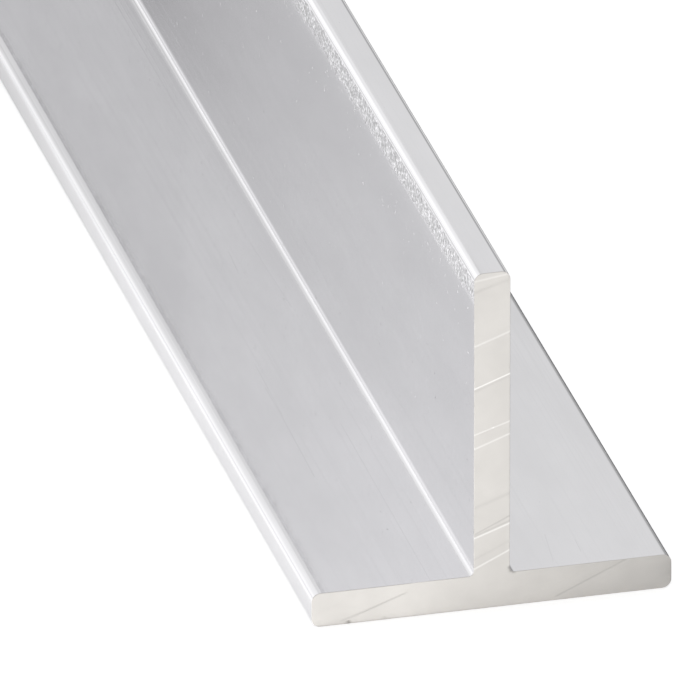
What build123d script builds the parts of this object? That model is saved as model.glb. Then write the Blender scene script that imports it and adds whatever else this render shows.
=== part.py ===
"""Aluminium T-profile, equal legs: one extruded bar, sawn square at both ends.

The bar lies on the underside of its flange with the web standing up. Its section is drawn
in the XZ plane and runs along Y. The origin is on the underside of the flange, half way
across it and half way along the bar. All sizes are in millimetres.
"""

import os

from build123d import *

# Driving sizes of the section and of the stock length
FLANGE_WIDTH = 20.0
SECTION_HEIGHT = 20.0
FLANGE_THICKNESS = 2.0
WEB_THICKNESS = 2.0
BAR_LENGTH = 1000.0

# Rounding that the extrusion die leaves on the section
FLANGE_EDGE_RADIUS = 0.5
WEB_EDGE_RADIUS = 0.5
ROOT_RADIUS = 0.3

# Places worked out from the driving sizes
WEB_HEIGHT = SECTION_HEIGHT - FLANGE_THICKNESS


def flange_section():
    """The flat foot of the T: a bar with all four edges rounded."""
    foot = Rectangle(FLANGE_WIDTH, FLANGE_THICKNESS, align=(Align.CENTER, Align.MIN))
    return fillet(foot.vertices(), FLANGE_EDGE_RADIUS)


def web_section():
    """The upright of the T, from the top of the flange, with its two top edges rounded."""
    upright = Pos(0, FLANGE_THICKNESS) * Rectangle(
        WEB_THICKNESS, WEB_HEIGHT, align=(Align.CENTER, Align.MIN)
    )
    top_corners = upright.vertices().group_by(Axis.Y)[-1]
    return fillet(top_corners, WEB_EDGE_RADIUS)


def t_section():
    """The whole section as one face, with a fillet in each inner corner."""
    joined = flange_section() + web_section()
    roots = [
        joined.vertices().sort_by_distance((side * WEB_THICKNESS / 2, FLANGE_THICKNESS))[0]
        for side in (-1, 1)
    ]
    return fillet(roots, ROOT_RADIUS)


def t_profile():
    """The bar: the section pushed half the length to each side of the origin."""
    return extrude(Plane.XZ * t_section(), BAR_LENGTH / 2, both=True)


def main():
    """Build the bar and write it as one part."""
    os.makedirs("parts", exist_ok=True)
    bar = t_profile()
    bar.label = "t_profile"
    export_step(bar, "parts/t_profile.step")


main()
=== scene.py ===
"""Looks of one sawn bar of satin anodised aluminium T-section, lying on a pale studio floor.

The bar runs along Y with its flange down, and the sawn end that faces the camera is the one
at the low end of Y. The bar's own sizes are in millimetres. Its mesh is put down in metres, and
the finishes and the studio are in metres too.
"""

import logging
import math
from dataclasses import dataclass, field
from enum import Enum

import bpy
import numpy as np
from mathutils import Matrix, Vector


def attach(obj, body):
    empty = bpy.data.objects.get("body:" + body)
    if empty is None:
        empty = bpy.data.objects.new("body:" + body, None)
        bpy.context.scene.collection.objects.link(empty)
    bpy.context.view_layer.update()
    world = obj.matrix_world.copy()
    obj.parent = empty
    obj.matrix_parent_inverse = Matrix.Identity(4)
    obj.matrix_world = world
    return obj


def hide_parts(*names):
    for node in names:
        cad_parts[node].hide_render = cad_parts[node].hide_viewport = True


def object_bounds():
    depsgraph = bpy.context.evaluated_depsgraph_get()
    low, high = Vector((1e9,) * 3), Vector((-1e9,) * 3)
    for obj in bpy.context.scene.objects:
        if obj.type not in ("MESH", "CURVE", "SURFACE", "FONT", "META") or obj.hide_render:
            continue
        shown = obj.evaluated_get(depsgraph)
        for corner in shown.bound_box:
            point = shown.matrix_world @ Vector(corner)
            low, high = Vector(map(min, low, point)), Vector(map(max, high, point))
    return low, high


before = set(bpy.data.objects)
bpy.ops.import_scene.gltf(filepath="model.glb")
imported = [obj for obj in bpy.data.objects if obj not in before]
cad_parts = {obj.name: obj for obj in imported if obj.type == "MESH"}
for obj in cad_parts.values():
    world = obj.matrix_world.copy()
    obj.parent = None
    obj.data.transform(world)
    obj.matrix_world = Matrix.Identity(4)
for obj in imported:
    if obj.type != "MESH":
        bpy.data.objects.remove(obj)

CAD_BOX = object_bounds()
MM = 0.001
NODE = "t_profile"
BODY = "root"
SAND = "sand"
TONE = "tone"

# Middle of the saw blade that cut the ends, in millimetres from the middle of the underside
BLADE_X = -89.0
BLADE_Z = 221.0

# Numbers of the sockets that a Mix node uses for colours
MIX_SHARE = 0
MIX_FIRST = 6
MIX_SECOND = 7
MIX_RESULT = 2

# Colours and places are three numbers, a span is two, and stops are pairs of value and level
Colour = tuple[float, float, float]
Place = tuple[float, float, float]
Span = tuple[float, float]
Stops = tuple[tuple[float, float], ...]

log = logging.getLogger("t_profile")


# Smooth curves

def eased(part: np.ndarray) -> np.ndarray:
    """The smooth step 3 f^2 - 2 f^3 of a fraction f."""
    return part * part * (3.0 - 2.0 * part)


@dataclass(frozen=True)
class Ripple:
    """A smooth random curve: random heights on even knots, joined by eased steps."""

    seed: int
    knots: int = 4096

    def at(self, place: np.ndarray) -> np.ndarray:
        """Reads the curve.

        The value between knots k and k + 1 is h(k) plus (h(k + 1) - h(k)) times the eased
        fraction. It repeats after all the knots.

        Args:
            place: Positions, in knots.

        Returns:
            Values from -1 to 1, of the same shape.
        """
        heights = np.random.default_rng(self.seed).uniform(-1.0, 1.0, self.knots)
        whole = np.floor(place).astype(int)
        low = heights[whole % self.knots]
        high = heights[(whole + 1) % self.knots]
        return low + (high - low) * eased(place - whole)


# The section

@dataclass(frozen=True)
class SectionOutline:
    """The T-section in millimetres: flange down, web up, middle of the underside at zero."""

    half_width: float = 10.0
    height: float = 20.0
    flange: float = 2.0
    half_web: float = 1.0
    edge_radius: float = 0.5
    root_radius: float = 0.3
    wing_columns: int = 84
    web_columns: int = 26
    flat_rows: int = 26
    web_rows: int = 430
    arc_rows: int = 12
    root_rows: int = 8

    def flange_rows(self, inset: float) -> tuple[np.ndarray, np.ndarray]:
        """Heights of the flange's rows and the half width at each.

        On a rounded edge the half width is the arc's centre plus the radius times the cosine,
        and the height goes with the sine. Between the two arcs it is constant.

        Args:
            inset: How far inside the full section the outline runs.

        Returns:
            The heights and the half widths, from the underside up.
        """
        radius = self.edge_radius - inset
        centre = self.half_width - self.edge_radius
        turn = np.linspace(-np.pi / 2, 0.0, self.arc_rows + 1)
        low_z = self.edge_radius + radius * np.sin(turn)
        low_x = centre + radius * np.cos(turn)
        flat_z = np.linspace(self.edge_radius, self.flange - self.edge_radius, self.flat_rows + 1)[1:-1]
        flat_x = np.full(flat_z.shape, self.half_width - inset)
        high_z = self.flange - low_z[::-1]
        return np.concatenate([low_z, flat_z, high_z]), np.concatenate([low_x, flat_x, low_x[::-1]])

    def web_rows_at(self, inset: float) -> tuple[np.ndarray, np.ndarray]:
        """Heights of the web's rows and the half width at each.

        The root fillet is an arc that bends the other way: its centre lies outside the web, and
        the half width is the centre minus the radius times the cosine.

        Args:
            inset: How far inside the full section the outline runs.

        Returns:
            The heights and the half widths, from the flange up.
        """
        root = self.root_radius + inset
        turn = np.linspace(-np.pi / 2, 0.0, self.root_rows + 1)
        root_z = self.flange + self.root_radius + root * np.sin(turn)
        root_x = self.half_web + self.root_radius - root * np.cos(turn)
        top = self.edge_radius - inset
        rise = np.linspace(0.0, np.pi / 2, self.arc_rows + 1)
        top_z = self.height - self.edge_radius + top * np.sin(rise)
        top_x = self.half_web - self.edge_radius + top * np.cos(rise)
        flat_z = np.linspace(root_z[-1], top_z[0], self.web_rows + 1)[1:-1]
        flat_x = np.full(flat_z.shape, self.half_web - inset)
        return np.concatenate([root_z, flat_z, top_z]), np.concatenate([root_x, flat_x, top_x])

    def grid(self, inset: float) -> tuple[np.ndarray, np.ndarray, np.ndarray]:
        """Covers the section with quads: a wide grid on the flange and a tall one on the web.

        The columns between the root fillets are shared by both grids, so the row where they
        meet has the same points.

        Args:
            inset: How far inside the full section the outline runs.

        Returns:
            Points (x, z), quads, and the points of the boundary in order, anticlockwise when
            seen from the front.
        """
        z_flange, w_flange = self.flange_rows(inset)
        z_web, w_web = self.web_rows_at(inset)
        neck = w_web[0]
        wing = np.linspace(0.0, 1.0, self.wing_columns + 1)
        middle = np.linspace(-neck, neck, self.web_columns + 1)
        right = neck + (w_flange[:, None] - neck) * wing[None, 1:]
        x_flange = np.concatenate(
            [-right[:, ::-1], np.broadcast_to(middle, (len(z_flange), len(middle))), right], axis=1
        )
        rows, columns = x_flange.shape
        x_web = w_web[1:, None] * (middle / neck)[None, :]
        flange_points = self._rows(x_flange, z_flange)
        web_points = self._rows(x_web, z_web[1:])
        flange_index = np.arange(rows * columns).reshape(rows, columns)
        first = self.wing_columns
        last = first + self.web_columns
        web_index = rows * columns + np.arange(web_points.shape[0] * web_points.shape[1])
        web_index = web_index.reshape(web_points.shape[:2])
        web_index = np.concatenate([flange_index[-1:, first:last + 1], web_index], axis=0)
        quads = np.concatenate([self._quads(flange_index), self._quads(web_index)])
        loop = np.concatenate([
            flange_index[0, :],
            flange_index[1:, -1],
            flange_index[-1, -2:last - 1:-1],
            web_index[1:, -1],
            web_index[-1, -2::-1],
            web_index[-2:0:-1, 0],
            flange_index[-1, first::-1],
            flange_index[-2:0:-1, 0],
        ])
        points = np.concatenate([flange_points.reshape(-1, 2), web_points.reshape(-1, 2)])
        return points, quads, loop

    @staticmethod
    def _rows(x: np.ndarray, heights: np.ndarray) -> np.ndarray:
        """Points (x, z) of a grid whose rows each have one height."""
        return np.stack([x, np.broadcast_to(heights[:, None], x.shape)], axis=-1)

    @staticmethod
    def _quads(index: np.ndarray) -> np.ndarray:
        """Quads of a grid of point numbers, anticlockwise when seen from the front."""
        corners = [index[:-1, :-1], index[:-1, 1:], index[1:, 1:], index[1:, :-1]]
        return np.stack(corners, axis=-1).reshape(-1, 4)


# Marks on the sawn ends

@dataclass(frozen=True)
class SawMark:
    """One score that a saw tooth left across an end: a soft-edged groove on a shallow arc.

    Its tone is painted light on the score: above zero the score is drawn brighter, a painted glint, and
    below zero darker, a painted shade.
    """

    height: float
    slope: float
    depth: float
    width: float = 0.05
    tone: float = 0.0
    start: float = -12.0
    stop: float = 12.0
    fade: float = 0.25

    def cover(self, x: np.ndarray, z: np.ndarray, bend: float) -> np.ndarray:
        """How much of this score there is at points of the end.

        The line climbs from its height at the middle by the slope times x, and by half the
        bend times x squared. Across it the share is a bell curve, and along it the score
        fades at its start and stop.

        Args:
            x: Places across the flange.
            z: Heights above the underside.
            bend: How much the slope grows over a millimetre of x.

        Returns:
            Shares from 0 to 1, in the points' shape.
        """
        line = self.height + self.slope * x + 0.5 * bend * x * x
        across = (z - line) / math.hypot(1.0, self.slope)
        begun = np.clip((x - self.start) / self.fade, 0.0, 1.0)
        left = np.clip((self.stop - x) / self.fade, 0.0, 1.0)
        return np.exp(-((across / self.width) ** 2)) * (begun * left)


@dataclass(frozen=True)
class Nick:
    """A small round dent in an end. With no depth it is only a speck of painted light: bright for a painted
    glint, dark for a painted shade.
    """

    x: float
    z: float
    depth: float
    radius: float
    tone: float = 0.0

    def cover(self, x: np.ndarray, z: np.ndarray) -> np.ndarray:
        """How much of it there is at points: a bell curve of the distance from its middle."""
        return np.exp(-((x - self.x) ** 2 + (z - self.z) ** 2) / self.radius ** 2)


@dataclass(frozen=True)
class SawnEnd:
    """How one end of the bar was cut: a blade's arcs, its deep scores, and an eased edge."""

    marks: tuple[SawMark, ...]
    seed: int
    ease_seed: int
    nicks: tuple[Nick, ...] = ()
    bend: float = 0.0046
    fine_depth: float = 0.004
    fine_pitch: float = 0.11
    wave_depth: float = 0.006
    wave_pitch: float = 0.9
    ease: float = 0.022
    ease_ripple: float = 0.008
    ease_step: float = 0.21

    def depth_at(self, x: np.ndarray, z: np.ndarray) -> np.ndarray:
        """Depth of the whole cut surface below the end's plane.

        Fine scores and slow waves follow the distance from the blade's centre, and the deep
        scores and the nicks are added one by one. The least depth is zero.

        Args:
            x: Places across the flange.
            z: Heights above the underside.

        Returns:
            Depths in millimetres, in the points' shape.
        """
        reach = np.hypot(x - BLADE_X, z - BLADE_Z)
        fine = Ripple(self.seed).at(reach / self.fine_pitch) * self.fine_depth
        wave = Ripple(self.seed + 1).at(reach / self.wave_pitch) * self.wave_depth
        deep = sum(mark.depth * mark.cover(x, z, self.bend) for mark in self.marks)
        dents = sum(nick.depth * nick.cover(x, z) for nick in self.nicks)
        total = fine + wave + deep + dents
        return np.maximum(total + self.fine_depth + self.wave_depth, 0.0)

    def tone_at(self, x: np.ndarray, z: np.ndarray) -> np.ndarray:
        """Painted light at points: the sum of the scores' and nicks' tones, above zero a painted glint and
        below zero a painted shade.

        Args:
            x: Places across the flange.
            z: Heights above the underside.

        Returns:
            Tones from -1 to 1, in the points' shape.
        """
        lines = sum(mark.tone * mark.cover(x, z, self.bend) for mark in self.marks)
        specks = sum(nick.tone * nick.cover(x, z) for nick in self.nicks)
        return np.clip(lines + specks, -1.0, 1.0)

    def rim_at(self, steps: np.ndarray) -> np.ndarray:
        """How far back the sides start at each point round the section, an even part and a ripple."""
        return self.ease + self.ease_ripple * (1.0 + Ripple(self.ease_seed).at(steps * self.ease_step))


# The tones of the scores and specks below are painted light: bright ones are painted glints, dark ones
# painted shade.
FRONT_MARKS = (
    SawMark(19.69, 0.14, 0.006, tone=0.35),
    SawMark(19.25, 0.30, 0.016, width=0.10, tone=-0.08),
    SawMark(16.02, 0.37, 0.010, width=0.055, tone=0.45),
    SawMark(13.51, 0.37, 0.012, width=0.04, tone=0.9),
    SawMark(13.40, 0.37, 0.010, width=0.05, tone=-0.08),
    SawMark(10.72, 0.32, 0.010, width=0.04, tone=0.55),
    SawMark(9.93, 0.37, 0.010, width=0.05, tone=0.5),
    SawMark(6.39, 0.35, 0.012, width=0.10, tone=-0.12),
    SawMark(4.92, 0.47, 0.014, width=0.04, tone=-0.3, start=-1.2),
    SawMark(4.72, 0.36, 0.010, width=0.05, tone=-0.25, start=-1.2),
    SawMark(4.58, 0.36, 0.012, width=0.045, tone=0.75, start=-1.2),
    SawMark(3.43, 0.46, 0.010, width=0.07, tone=-0.08, start=-1.2),
    SawMark(2.87, 0.48, 0.010, width=0.05, tone=0.6, start=-1.2, stop=1.2),
    SawMark(3.23, 0.38, 0.020, width=0.045, tone=-0.22, start=-8.5, stop=-4.6),
    SawMark(-1.30, 0.42, 0.020, width=0.045, tone=-0.28, start=3.4, stop=7.7),
)
# The three dark specks with no depth at the right root are a painted shadow crescent, and the bright one is
# a painted glint.
FRONT_NICKS = (
    Nick(-7.95, 0.06, 0.09, 0.11),
    Nick(-5.95, 0.08, 0.05, 0.09),
    Nick(0.05, 10.75, 0.0, 0.04, tone=1.0),
    Nick(0.99, 2.28, 0.0, 0.09, tone=-0.9),
    Nick(1.08, 2.10, 0.0, 0.11, tone=-1.0),
    Nick(1.24, 2.00, 0.0, 0.09, tone=-0.8),
)
# The back end's tones are painted light too: painted glints and painted shade.
BACK_MARKS = (
    SawMark(17.30, 0.31, 0.010, tone=0.6),
    SawMark(14.05, 0.36, 0.014, tone=0.9),
    SawMark(11.90, 0.30, 0.014, width=0.08, tone=-0.1),
    SawMark(8.15, 0.34, 0.012, tone=0.6),
    SawMark(7.70, 0.34, 0.016, tone=-0.2),
    SawMark(5.05, 0.28, 0.012, tone=0.5, start=-1.2),
    SawMark(2.10, 0.37, 0.022, tone=-0.2, start=-8.8, stop=-2.6),
    SawMark(-0.95, 0.38, 0.020, tone=-0.2, start=2.4, stop=8.1),
)


# Shader graphs

class Graph:
    """Nodes of one material or world, each added with its settings and inputs in one call."""

    def __init__(self, tree: bpy.types.NodeTree) -> None:
        """Empties the tree.

        Args:
            tree: The node tree to fill.
        """
        self.tree = tree
        tree.nodes.clear()

    def add(self, kind: str, inputs: dict[str | int, object] | None = None,
            **settings: object) -> bpy.types.Node:
        """Adds a node.

        Args:
            kind: The node's type name, without the ShaderNode in front.
            inputs: Values or sockets, by input name or number.
            settings: The node's own properties.

        Returns:
            The new node.
        """
        node = self.tree.nodes.new("ShaderNode" + kind)
        for name, value in settings.items():
            setattr(node, name, value)
        for key, value in (inputs or {}).items():
            if isinstance(value, bpy.types.NodeSocket):
                self.tree.links.new(value, node.inputs[key])
            else:
                node.inputs[key].default_value = value
        return node

    def place(self) -> bpy.types.NodeSocket:
        """Adds the place on the piece, in metres from its origin, and returns it."""
        return self.add("TexCoord").outputs["Object"]

    def vector(self, operation: str, first: object, second: object) -> bpy.types.NodeSocket:
        """Adds a Vector Math node that gives a vector, and returns its output."""
        return self.add("VectorMath", {0: first, 1: second}, operation=operation).outputs["Vector"]

    def measure(self, operation: str, first: object, second: object) -> bpy.types.NodeSocket:
        """Adds a Vector Math node that gives a number, and returns its output."""
        return self.add("VectorMath", {0: first, 1: second}, operation=operation).outputs["Value"]

    def math(self, operation: str, first: object, second: object = 0.0, third: object = 0.0,
             clamp: bool = False) -> bpy.types.NodeSocket:
        """Adds a Math node and returns its output."""
        node = self.add("Math", {0: first, 1: second, 2: third}, operation=operation, use_clamp=clamp)
        return node.outputs[0]

    def scaled(self, vector: bpy.types.NodeSocket, scale: Place) -> bpy.types.NodeSocket:
        """Multiplies a vector's three parts and returns the result."""
        return self.vector("MULTIPLY", vector, scale)

    def noise(self, vector: bpy.types.NodeSocket, scale: float, detail: float = 2.0,
              roughness: float = 0.5) -> bpy.types.NodeSocket:
        """Adds a 3-D noise and returns its value, around one half."""
        node = self.add("TexNoise", {"Vector": vector, "Scale": scale, "Detail": detail,
                                     "Roughness": roughness})
        return node.outputs[0]

    def span(self, value: bpy.types.NodeSocket, low: float, high: float, to_low: float = 0.0,
             to_high: float = 1.0, kind: str = "LINEAR") -> bpy.types.NodeSocket:
        """Maps a span of values onto another, held at its ends, and returns the result.

        Args:
            value: The value to map.
            low: Where the span starts.
            high: Where it ends, which may be below its start.
            to_low: The result at the start.
            to_high: The result at the end.
            kind: How the result runs between them.

        Returns:
            The result.
        """
        node = self.add("MapRange", {"Value": value, "From Min": low, "From Max": high, "To Min": to_low,
                                     "To Max": to_high}, clamp=True, interpolation_type=kind)
        return node.outputs[0]

    def course(self, value: bpy.types.NodeSocket, stops: Stops) -> bpy.types.NodeSocket:
        """Adds a curve of straight runs through its stops (value, level), held at both ends.

        Args:
            value: What the curve is read at.
            stops: Values in rising order, each with the level there.

        Returns:
            The level.
        """
        total = stops[0][1]
        for (low, level), (high, next_level) in zip(stops[:-1], stops[1:]):
            total = self.math("ADD", self.span(value, low, high, 0.0, next_level - level), total)
        return total

    def mix_colour(self, share: object, first: object, second: object) -> bpy.types.NodeSocket:
        """Mixes two colours by a share and returns the result."""
        node = self.add("Mix", {MIX_SHARE: share, MIX_FIRST: first, MIX_SECOND: second}, data_type="RGBA")
        return node.outputs[MIX_RESULT]

    def finish(self, surface: bpy.types.Node) -> None:
        """Adds the material's output and joins a shader to it."""
        self.add("OutputMaterial", {"Surface": surface.outputs[0]})


def new_material(name: str) -> tuple[bpy.types.Material, Graph]:
    """Makes a material with an empty graph.

    Args:
        name: The material's name.

    Returns:
        The material and its graph.
    """
    material = bpy.data.materials.new(name)
    material.use_nodes = True
    return material, Graph(material.node_tree)


def shade(colour: Colour, share: float = 1.0) -> tuple[float, float, float, float]:
    """A colour times a share, as a shader takes it."""
    return (*(part * share for part in colour), 1.0)


def grey(value: float) -> tuple[float, float, float, float]:
    """A neutral colour of one linear value."""
    return value, value, value, 1.0


# Finishes

@dataclass(frozen=True)
class Scratch:
    """A fine scratch on top of the flange, from one place (x, y) to another, in metres."""

    start: tuple[float, float]
    end: tuple[float, float]
    width: float = 0.00004

    def mask(self, graph: Graph, place: bpy.types.NodeSocket) -> bpy.types.NodeSocket:
        """Adds the nodes for how much of a point lies on the scratch.

        With s the share of the way from start to end, held between 0 and 1, the mask falls
        from 1 on the line to 0 at the width.

        Args:
            graph: The material's graph.
            place: Object coordinates.

        Returns:
            The mask, from 0 to 1.
        """
        start = Vector((*self.start, 0.0))
        run = Vector((*self.end, 0.0)) - start
        offset = graph.vector("SUBTRACT", graph.scaled(place, (1.0, 1.0, 0.0)), start)
        along = graph.measure("DOT_PRODUCT", offset, run / run.length_squared)
        held = graph.math("ADD", along, 0.0, clamp=True)
        nearest = graph.add("VectorMath", {0: run, "Scale": held}, operation="SCALE").outputs[0]
        away = graph.measure("DISTANCE", offset, nearest)
        return graph.span(away, 0.0, self.width, 1.0, 0.0)


SCRATCHES = (
    Scratch((-0.00617, -0.47466), (-0.00616, -0.4781)),
    Scratch((-0.00616, -0.4781), (-0.00630, -0.4861)),
    Scratch((-0.00599, -0.4717), (-0.00610, -0.4784), width=0.00003),
    Scratch((-0.00329, -0.4800), (-0.00340, -0.49995), width=0.00003),
    Scratch((-0.00249, -0.4569), (-0.00229, -0.4653), width=0.00003),
    Scratch((-0.00391, -0.4577), (-0.00406, -0.4605), width=0.00003),
    Scratch((0.00399, -0.4960), (0.00360, -0.4993), width=0.00003),
    Scratch((0.00540, -0.4970), (0.00535, -0.4985), width=0.00003),
)


@dataclass(frozen=True)
class AnodisedFinish:
    """Satin anodised faces: sandy etch grain, faint lengthways die lines and a slow mottle.

    The mesh attribute says how coarse the grain is. It is most in the band below the web's top
    edges, where the finish is rougher and carries painted sparkle: bright specks drawn as painted
    glints and dark specks as painted shade. Spans are those of a noise, which lies around one
    half, or of the grain's coarseness.
    """

    colour: Colour = (0.750, 0.746, 0.762)
    dark_share: float = 0.94
    metallic: float = 1.0
    roughness: float = 0.05
    mottle_scale: float = 300.0
    mottle_stretch: float = 0.35
    mottle_span: Span = (0.3, 0.7)
    line_scale: float = 5200.0
    line_stretch: float = 0.0012
    line_height: float = 0.0000010
    line_span: Span = (0.36, 0.46)
    line_share: float = 0.6
    web_sand: float = 0.12
    web_grain_scale: float = 2200.0
    web_grain_share: float = 0.6
    web_grain_span: Span = (0.35, 0.65)
    sand_roughness: float = 0.26
    sand_dark: float = 0.76
    sand_span: Span = (0.52, 0.72)
    patch_scale: float = 2600.0
    patch_reach: float = 1.8
    grain_scale: float = 6500.0
    grain_height: float = 0.000006
    painted_dark_speck: float = 0.50
    painted_dark_speck_span: Span = (0.45, 0.38)
    painted_glint: float = 1.30
    painted_glint_span: Span = (0.56, 0.63)
    scratch_share: float = 0.88

    def build(self) -> bpy.types.Material:
        """Makes the material.

        Returns:
            A material whose patterns read Object coordinates in metres.
        """
        material, graph = new_material("satin_anodised")
        place = graph.place()
        coarse = graph.add("Attribute", attribute_name=SAND).outputs["Fac"]
        lines_at = graph.scaled(place, (1.0, self.line_stretch, 1.0))
        lines = graph.noise(lines_at, self.line_scale, detail=3.0, roughness=0.6)
        grain = graph.noise(place, self.grain_scale, detail=1.0)
        patches = graph.math("SUBTRACT", graph.noise(place, self.patch_scale, detail=1.0), 0.5)
        ragged = graph.math("MULTIPLY_ADD", patches, self.patch_reach, coarse)
        sand = graph.span(ragged, *self.sand_span)
        colour = self.smooth_colour(graph, place, lines, coarse)
        colour = self.sand_and_glint_colour(graph, colour, grain, sand)
        for scratch in SCRATCHES:
            there = scratch.mask(graph, place)
            colour = graph.mix_colour(there, colour, shade(self.colour, self.scratch_share))
        bump_lines = graph.add("Bump", {"Height": lines, "Distance": self.line_height})
        bump_grain = graph.add("Bump", {"Height": graph.math("MULTIPLY", grain, sand),
                                        "Distance": self.grain_height, "Normal": bump_lines.outputs[0]})
        roughness = graph.math("MULTIPLY_ADD", sand, self.sand_roughness, self.roughness)
        graph.finish(graph.add("BsdfPrincipled", {
            "Base Color": colour, "Metallic": self.metallic, "Roughness": roughness,
            "Normal": bump_grain.outputs[0],
        }))
        return material

    def smooth_colour(self, graph: Graph, place: bpy.types.NodeSocket, lines: bpy.types.NodeSocket,
                      coarse: bpy.types.NodeSocket) -> bpy.types.NodeSocket:
        """Adds the colour outside the sandy band: mottle, die lines, and a cloudy grain on the web.

        Args:
            graph: The material's graph.
            place: Object coordinates.
            lines: The noise of the die lines.
            coarse: How coarse the grain is, from the mesh.

        Returns:
            The colour.
        """
        dark = shade(self.colour, self.dark_share)
        mottle_at = graph.scaled(place, (1.0, self.mottle_stretch, 1.0))
        mottle = graph.noise(mottle_at, self.mottle_scale, detail=3.0, roughness=0.6)
        colour = graph.mix_colour(graph.span(mottle, *self.mottle_span), dark, shade(self.colour))
        colour = graph.mix_colour(graph.span(lines, *self.line_span, self.line_share, 0.0), colour, dark)
        on_web = graph.span(coarse, 0.0, self.web_sand, 0.0, self.web_grain_share)
        web_grain = graph.noise(place, self.web_grain_scale, roughness=0.7)
        cloudy = graph.math("MULTIPLY", graph.span(web_grain, *self.web_grain_span), on_web)
        return graph.mix_colour(cloudy, colour, dark)

    def sand_and_glint_colour(self, graph: Graph, colour: bpy.types.NodeSocket, grain: bpy.types.NodeSocket,
                     sand: bpy.types.NodeSocket) -> bpy.types.NodeSocket:
        """Adds the sandy band's darker ground and its painted sparkle, dark specks of painted shade and
        bright painted glints, to a colour.

        Args:
            graph: The material's graph.
            colour: The colour without the sand.
            grain: The noise of the specks.
            sand: How much sand there is, from 0 to 1.

        Returns:
            The colour.
        """
        colour = graph.mix_colour(sand, colour, shade(self.colour, self.sand_dark))
        # Painted sparkle: dark specks of painted shade, then bright painted glints.
        for span, share in ((self.painted_dark_speck_span, self.painted_dark_speck),
                            (self.painted_glint_span, self.painted_glint)):
            there = graph.math("MULTIPLY", graph.span(grain, *span), sand, clamp=True)
            colour = graph.mix_colour(there, colour, shade(self.colour, share))
        return colour


@dataclass(frozen=True)
class SawnFinish:
    """Bare metal of a sawn end: warmer and brighter, with scores along the blade's arcs, drawn brighter as
    painted glints and darker as painted shade.
    """

    bare_colour: Colour = (0.715, 0.692, 0.662)
    bare_dark_share: float = 0.95
    score_glint_colour: Colour = (1.0, 0.985, 0.96)
    score_shade_share: float = 0.45
    bare_metallic: float = 0.9
    bare_roughness: float = 0.45
    score_scale: float = 7000.0
    score_height: float = 0.000005
    cloud_scale: float = 500.0
    cloud_span: Span = (0.35, 0.65)

    def build(self) -> bpy.types.Material:
        """Makes the material.

        Returns:
            A material whose scores follow the distance from the blade's middle.
        """
        material, graph = new_material("bare_sawn_metal")
        flat = graph.scaled(graph.place(), (1.0, 0.0, 1.0))
        reach = graph.measure("DISTANCE", flat, (BLADE_X * MM, 0.0, BLADE_Z * MM))
        scores = graph.add("TexNoise", {"W": graph.math("MULTIPLY", reach, self.score_scale), "Scale": 1.0,
                                        "Detail": 3.0, "Roughness": 0.6}, noise_dimensions="1D").outputs[0]
        cloud = graph.span(graph.noise(flat, self.cloud_scale), *self.cloud_span)
        tone = graph.add("Attribute", attribute_name=TONE).outputs["Fac"]
        # Painted light on the scores and specks: a tone above zero mixes in a painted glint, below zero a
        # painted shade.
        score_glint = graph.span(tone, 0.0, 1.0)
        score_shade = graph.span(tone, -1.0, 0.0, 1.0, 0.0)
        dark = shade(self.bare_colour, self.bare_dark_share)
        colour = graph.mix_colour(cloud, dark, shade(self.bare_colour))
        colour = graph.mix_colour(score_glint, colour, shade(self.score_glint_colour))
        colour = graph.mix_colour(score_shade, colour, shade(self.bare_colour, self.score_shade_share))
        bump = graph.add("Bump", {"Height": scores, "Distance": self.score_height})
        graph.finish(graph.add("BsdfPrincipled", {
            "Base Color": colour, "Metallic": self.bare_metallic, "Roughness": self.bare_roughness,
            "Normal": bump.outputs[0],
        }))
        return material


# The bar

class Face(Enum):
    """Which finish a face of the bar has, as its material's number."""

    ANODISED = 0
    SAWN = 1


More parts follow.
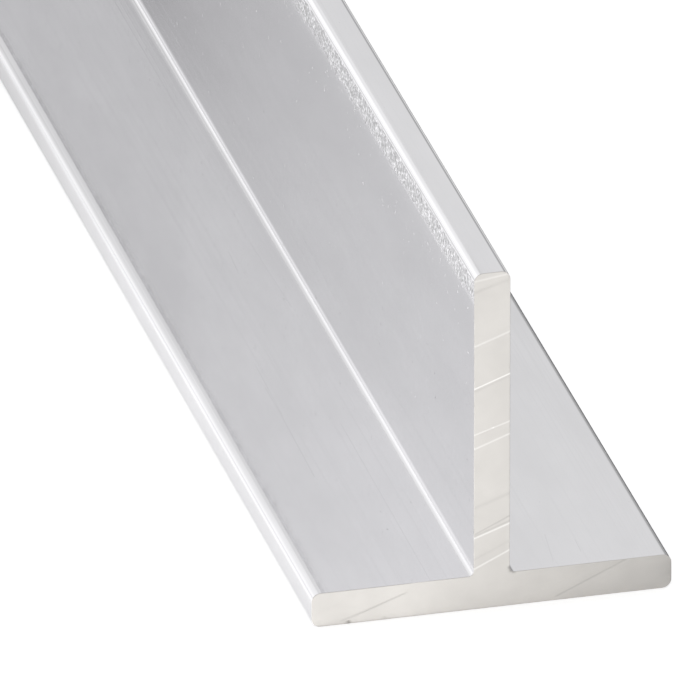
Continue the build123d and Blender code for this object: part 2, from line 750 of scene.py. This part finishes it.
@dataclass
class TBar:
    """The whole bar as one closed mesh: two sawn caps and the sides carried between them."""

    length: float = 1000.0
    outline: SectionOutline = field(default_factory=SectionOutline)
    front: SawnEnd = SawnEnd(FRONT_MARKS, seed=11, ease_seed=5, nicks=FRONT_NICKS)
    back: SawnEnd = SawnEnd(BACK_MARKS, seed=47, ease_seed=6)
    band: float = 1.25
    band_fade: float = 1.1
    sharp_angle: float = 28.0
    ring_shares: tuple[float, ...] = (0.0004, 0.004, 0.02, 0.08, 0.25, 0.5, 0.75, 0.92, 0.98, 0.996, 0.9996)

    def sand_at(self, profile: np.ndarray) -> np.ndarray:
        """How coarse the etch grain is at points of the section.

        It is slight on the web's sides and nothing elsewhere, and it grows to full over the last
        stretch below the web's rounded edges, where it stops.

        Args:
            profile: Points (x, z).

        Returns:
            A factor for each point.
        """
        x, z = profile[:, 0], profile[:, 1]
        arc_start = self.outline.height - self.outline.edge_radius
        on_web = (z > self.outline.flange + self.outline.root_radius) & (z <= arc_start)
        on_web &= np.abs(x) <= self.outline.half_web
        rise = eased(np.clip((z - (arc_start - self.band)) / self.band_fade + 0.5, 0.0, 1.0))
        return np.where(on_web, np.maximum(rise, AnodisedFinish.web_sand), 0.0)

    def build(self) -> bpy.types.Object:
        """Makes the mesh and its object.

        The front cap is the inset section pushed back by the saw's depth. Then come rings of
        the full section at their places along the bar, the first and last of them rippled a
        little to leave the eased edges, and the back cap turned to face the other way.

        Returns:
            The bar's object, at the origin, in metres.
        """
        half = self.length / 2
        cap, quads, loop = self.outline.grid(self.front.ease)
        count = len(cap)
        front_y = -half + self.front.depth_at(cap[:, 0], cap[:, 1])
        back_y = half - self.back.depth_at(-cap[:, 0], cap[:, 1])
        front_points = np.stack([cap[:, 0], front_y, cap[:, 1]], axis=-1)
        back_points = np.stack([cap[:, 0], back_y, cap[:, 1]], axis=-1)
        full, _, full_loop = self.outline.grid(0.0)
        profile = full[full_loop]
        around = len(profile)
        steps = np.arange(around)
        stations = [-half + self.front.rim_at(steps)]
        stations += [np.full(around, -half + share * self.length) for share in self.ring_shares]
        stations += [half - self.back.rim_at(steps)]
        rings = [np.stack([profile[:, 0], y, profile[:, 1]], axis=-1) for y in stations]
        points = np.concatenate([front_points, *rings, back_points]) * MM
        ring_index = [loop]
        ring_index += [count + number * around + np.arange(around) for number in range(len(rings))]
        back_start = count + len(rings) * around
        ring_index += [back_start + loop]
        sides = np.concatenate([self._band(a, b) for a, b in zip(ring_index[:-1], ring_index[1:])])
        faces = np.concatenate([quads, sides, back_start + quads[:, ::-1]])
        finish = np.full(len(faces), Face.ANODISED.value, dtype=np.int32)
        finish[:len(quads) + around] = Face.SAWN.value
        finish[-len(quads) - around:] = Face.SAWN.value
        sand = np.zeros(len(points))
        sand[count:back_start] = np.tile(self.sand_at(profile), len(rings))
        tone = np.zeros(len(points))
        tone[:count] = self.front.tone_at(cap[:, 0], cap[:, 1])
        tone[back_start:] = self.back.tone_at(-cap[:, 0], cap[:, 1])
        return self.put_down(points, faces, finish, {SAND: sand, TONE: tone})

    @staticmethod
    def _band(near: np.ndarray, far: np.ndarray) -> np.ndarray:
        """Quads between two rings of point numbers, facing outwards."""
        return np.stack([near, far, np.roll(far, -1), np.roll(near, -1)], axis=-1)

    def put_down(self, points: np.ndarray, faces: np.ndarray, finish: np.ndarray,
                 factors: dict[str, np.ndarray]) -> bpy.types.Object:
        """Puts arrays into a mesh object.

        Args:
            points: Places in metres.
            faces: Quads as point numbers.
            finish: The material number of each face.
            factors: The factor of each point that each mesh attribute holds, by its name.

        Returns:
            The linked object.
        """
        mesh = bpy.data.meshes.new("t_profile_bar")
        mesh.vertices.add(len(points))
        mesh.vertices.foreach_set("co", points.astype(np.float32).ravel())
        mesh.loops.add(faces.size)
        mesh.loops.foreach_set("vertex_index", faces.astype(np.int32).ravel())
        mesh.polygons.add(len(faces))
        mesh.polygons.foreach_set("loop_start", np.arange(0, faces.size, 4, dtype=np.int32))
        mesh.polygons.foreach_set("material_index", finish)
        mesh.polygons.foreach_set("use_smooth", np.ones(len(faces), dtype=bool))
        mesh.update(calc_edges=True)
        mesh.validate()
        for name, values in factors.items():
            factor = mesh.attributes.new(name, "FLOAT", "POINT")
            factor.data.foreach_set("value", values.astype(np.float32))
        mesh.set_sharp_from_angle(angle=math.radians(self.sharp_angle))
        bar = bpy.data.objects.new("t_profile_bar", mesh)
        bpy.context.scene.collection.objects.link(bar)
        return bar

    def dress(self, bar: bpy.types.Object) -> None:
        """Gives the bar its two finishes, in the order of Face."""
        bar.data.materials.append(AnodisedFinish().build())
        bar.data.materials.append(SawnFinish().build())


# Studio

@dataclass(frozen=True)
class Softbox:
    """A far soft light in the world, fading out with the angle from its middle.

    Its azimuth is 0 along +Y and grows towards +X. Angles are in degrees.
    """

    azimuth: float
    elevation: float
    full: float
    edge: float
    level: float

    def glow(self, graph: Graph, way: bpy.types.NodeSocket) -> bpy.types.NodeSocket:
        """Adds the nodes that turn a direction into this softbox's light.

        The light is full within the inner angle from the middle and falls along a smooth step to
        nothing at the outer one.

        Args:
            graph: The world's graph.
            way: The direction.

        Returns:
            The light, which is negative for a dark one.
        """
        azimuth, elevation = math.radians(self.azimuth), math.radians(self.elevation)
        middle = (math.sin(azimuth) * math.cos(elevation), math.cos(azimuth) * math.cos(elevation),
                  math.sin(elevation))
        near = graph.measure("DOT_PRODUCT", way, middle)
        return graph.span(near, math.cos(math.radians(self.edge)), math.cos(math.radians(self.full)),
                          0.0, self.level, kind="SMOOTHSTEP")


class Axis(Enum):
    """An axis of the bar, as the number of its coordinate."""

    ACROSS = 0
    ALONG = 1


def lay_out(name: str, corners: tuple[Place, ...], material: bpy.types.Material) -> bpy.types.Object:
    """Makes a flat studio piece of one face.

    Args:
        name: The piece's name.
        corners: Its corners in metres, in order.
        material: Its material.

    Returns:
        The linked piece.
    """
    mesh = bpy.data.meshes.new(name)
    mesh.from_pydata(list(corners), [], [tuple(range(len(corners)))])
    mesh.materials.append(material)
    piece = bpy.data.objects.new(name, mesh)
    bpy.context.scene.collection.objects.link(piece)
    return piece


def hide_from_soft_light(card: bpy.types.Object) -> None:
    """Leaves a studio card visible in mirrored light only.

    Args:
        card: The card to hide from the camera, from soft light and from shadows.
    """
    card.visible_camera = False
    card.visible_diffuse = False
    card.visible_shadow = False


def on_floor(left: float, near: float, right: float, far: float,
             height: float = 0.00005) -> tuple[Place, ...]:
    """Corners of a level piece at floor height or just above it."""
    return (left, near, height), (right, near, height), (right, far, height), (left, far, height)


def along_bar(x: float, near: float, far: float, low: float, high: float) -> tuple[Place, ...]:
    """Corners of an upright card that runs beside the bar."""
    return (x, near, low), (x, far, low), (x, far, high), (x, near, high)


@dataclass(frozen=True)
class DarkCard:
    """A dark card beside the bar, of which only the reflection in the metal is seen.

    Its corners are in metres. Its shares say how much of the light behind it the card hides, at
    places along one axis.
    """

    name: str
    corners: tuple[Place, ...]
    axis: Axis
    shares: Stops
    dark: float = 0.02

    def build(self) -> bpy.types.Object:
        """Puts the card down.

        Returns:
            The card, hidden from the camera, from soft light and from shadows.
        """
        material, graph = new_material(self.name)
        place = graph.add("SeparateXYZ", {0: graph.place()})
        share = graph.course(place.outputs[self.axis.value], self.shares)
        matt = graph.add("BsdfDiffuse", {"Color": grey(self.dark)})
        clear = graph.add("BsdfTransparent")
        graph.finish(graph.add("MixShader", {0: share, 1: clear.outputs[0], 2: matt.outputs[0]}))
        card = lay_out(self.name, self.corners, material)
        hide_from_soft_light(card)
        return card


@dataclass(frozen=True)
class GlowCard:
    """A round glow that hangs across the bar and that only the metal sees, fading out to its rim."""

    name: str
    middle: Place
    radius: float
    level: float
    top: float

    def build(self) -> bpy.types.Object:
        """Hangs the card up.

        The light is the level times the smooth step of a share that falls from 1 in the middle
        to 0 at the rim. The card is cut off level at its top and hides nothing behind it, and it
        shines only towards the front end.

        Returns:
            The card, hidden from the camera, from soft light and from shadows.
        """
        material, graph = new_material(self.name)
        away = graph.measure("DISTANCE", graph.place(), (0.0, 0.0, 0.0))
        level = graph.span(away, self.radius, 0.0, 0.0, self.level, kind="SMOOTHSTEP")
        behind = graph.add("NewGeometry").outputs["Backfacing"]
        one_sided = graph.math("MULTIPLY", level, graph.math("SUBTRACT", 1.0, behind))
        glow = graph.add("Emission", {"Color": grey(1.0), "Strength": one_sided})
        clear = graph.add("BsdfTransparent")
        graph.finish(graph.add("AddShader", {0: clear.outputs[0], 1: glow.outputs[0]}))
        side = self.radius
        top = self.top - self.middle[2]
        corners = ((-side, 0, -side), (side, 0, -side), (side, 0, top), (-side, 0, top))
        card = lay_out(self.name, corners, material)
        card.location = self.middle
        hide_from_soft_light(card)
        return card


@dataclass
class Studio:
    """Floor, light, cards and camera round the bar.

    Lengths are in metres, angles in degrees. The camera's azimuth is 0 in front of the bar and
    grows towards +X. Its shifts say how far the end's foot lies to the right of the picture's
    middle and above it.
    """

    floor_half: float = 30.0
    lens: float = 1650.0
    sensor: float = 36.0
    azimuth: float = -14.3632
    elevation: float = 25.8465
    distance: float = 1.7163256
    shift_right: float = 0.0077351
    shift_up: float = -0.0139625
    clip: Span = (0.1, 100.0)
    floor_grey: float = 0.9
    floor_white: float = 0.48
    floor_lift: Stops = (
        (-0.300, 0.25), (-0.150, 0.60), (-0.060, 0.60), (-0.045, 0.25), (-0.024, 0.25),
        (-0.0165, 0.76), (-0.0122, 0.76), (-0.0108, 0.46), (-0.0099, 0.35), (-0.0095, 0.25),
    )
    front_glow: Stops = (
        (-0.010, -0.12), (-0.005, 0.05), (0.001, 0.28), (0.005, 0.52), (0.010, 0.50), (0.030, 0.40),
        (0.060, 0.0),
    )
    front_turn: Place = (-1.0, -0.5, 0.0)
    front_seam: float = 0.0002
    sky_level: float = 0.68
    softboxes: tuple[Softbox, ...] = (
        Softbox(0.0, 20.0, 40.0, 85.0, 0.17),
        Softbox(-40.0, -5.0, 5.0, 34.0, 0.44),
        Softbox(30.0, 0.0, 3.0, 19.0, -0.42),
    )
    glow_cards: tuple[GlowCard, ...] = (
        GlowCard("studio_glow_left", (-0.050, -0.400, 0.070), 0.080, 0.40, top=0.075),
        GlowCard("studio_glow_right", (0.035, -0.400, 0.065), 0.045, 0.08, top=0.075),
    )
    dark_cards: tuple[DarkCard, ...] = (
        DarkCard("studio_dark_right", on_floor(0.0103, -0.502, 0.060, 0.560), Axis.ACROSS,
                 ((0.030, 0.78), (0.060, 0.0))),
        DarkCard("studio_dark_left", on_floor(-0.016, -0.460, -0.0099, -0.360), Axis.ALONG,
                 ((-0.460, 0.0), (-0.425, 0.24), (-0.400, 0.24), (-0.360, 0.0))),
        DarkCard("studio_dark_side", along_bar(-0.030, -0.402, -0.200, 0.040, 0.05885), Axis.ALONG,
                 ((-0.352, 0.055), (-0.329, 0.13), (-0.309, 0.33), (-0.280, 0.32), (-0.200, 0.0))),
    )

    def floor(self) -> bpy.types.Object:
        """A plain pale floor at the bar's underside, which renders white and keeps its shadow.

        What the metal mirrors of it is brighter in a strip beside the flange on the left, and
        again farther out. In front of the bar a light is added that goes by the front turn's dot
        product with the place from the end's foot. It is below zero at the right, most close to
        the foot, and zero far out.

        Returns:
            The floor.
        """
        material, graph = new_material("studio_white")
        path = graph.add("LightPath")
        mirrored = graph.math("MAXIMUM", path.outputs["Is Glossy Ray"], path.outputs["Is Transmission Ray"])
        place = graph.place()
        apart = graph.add("SeparateXYZ", {0: place})
        beside = graph.course(apart.outputs[Axis.ACROSS.value], self.floor_lift)
        end_y = CAD_BOX[0][1]
        from_end = graph.vector("SUBTRACT", place, (0.0, end_y, 0.0))
        outward = graph.measure("DOT_PRODUCT", from_end, self.front_turn)
        in_front = graph.span(apart.outputs[Axis.ALONG.value], end_y - self.front_seam, end_y, 1.0, 0.0)
        ahead = graph.math("MULTIPLY", graph.course(outward, self.front_glow), in_front)
        lift = graph.math("MULTIPLY", mirrored, graph.math("ADD", beside, ahead))
        lift = graph.math("MULTIPLY_ADD", path.outputs["Is Camera Ray"], self.floor_white, lift)
        pale = graph.add("BsdfDiffuse", {"Color": grey(self.floor_grey)})
        glow = graph.add("Emission", {"Color": grey(1.0), "Strength": lift})
        graph.finish(graph.add("AddShader", {0: pale.outputs[0], 1: glow.outputs[0]}))
        reach = self.floor_half
        return lay_out("studio_floor", on_floor(-reach, -reach, reach, reach, height=0.0), material)

    def world(self) -> None:
        """An even studio with softboxes, which the camera itself sees as plain white.

        The light of a direction is the sky's level plus what each softbox gives there.
        """
        world = bpy.data.worlds.new("studio")
        bpy.context.scene.world = world
        world.use_nodes = True
        graph = Graph(world.node_tree)
        way = graph.add("TexCoord").outputs["Generated"]
        total = self.sky_level
        for softbox in self.softboxes:
            total = graph.math("ADD", total, softbox.glow(graph, way))
        total = graph.math("MAXIMUM", total, graph.add("LightPath").outputs["Is Camera Ray"])
        background = graph.add("Background", {"Color": grey(1.0), "Strength": total})
        graph.add("OutputWorld", {"Surface": background.outputs[0]})

    def camera(self) -> None:
        """The camera at the photograph's angle, with the front end where the photograph has it."""
        azimuth, elevation = math.radians(self.azimuth), math.radians(self.elevation)
        back = Vector((math.sin(azimuth) * math.cos(elevation), -math.cos(azimuth) * math.cos(elevation),
                       math.sin(elevation)))
        right = (-back).cross(Vector((0.0, 0.0, 1.0))).normalized()
        up = right.cross(-back)
        foot = Vector((0.0, CAD_BOX[0][1], 0.0))
        data = bpy.data.cameras.new("studio_camera")
        data.lens = self.lens
        data.sensor_width = self.sensor
        data.clip_start, data.clip_end = self.clip
        camera = bpy.data.objects.new("studio_camera", data)
        camera.location = foot - right * self.shift_right - up * self.shift_up + back * self.distance
        camera.rotation_mode = "QUATERNION"
        camera.rotation_quaternion = Matrix((right, up, back)).transposed().to_quaternion()
        bpy.context.scene.collection.objects.link(camera)
        bpy.context.scene.camera = camera


def main() -> None:
    """Builds the bar and the studio."""
    logging.basicConfig(level=logging.INFO, format="%(name)s: %(message)s")
    bpy.context.scene.view_settings.view_transform = "Standard"
    maker = TBar()
    bar = maker.build()
    maker.dress(bar)
    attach(bar, BODY)
    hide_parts(NODE)
    log.info("bar: %d points, %d faces", len(bar.data.vertices), len(bar.data.polygons))
    studio = Studio()
    studio.floor()
    for card in (*studio.dark_cards, *studio.glow_cards):
        card.build()
    studio.world()
    studio.camera()
    log.info("studio: floor, cards, world and camera")


if __name__ == "__main__":
    main()
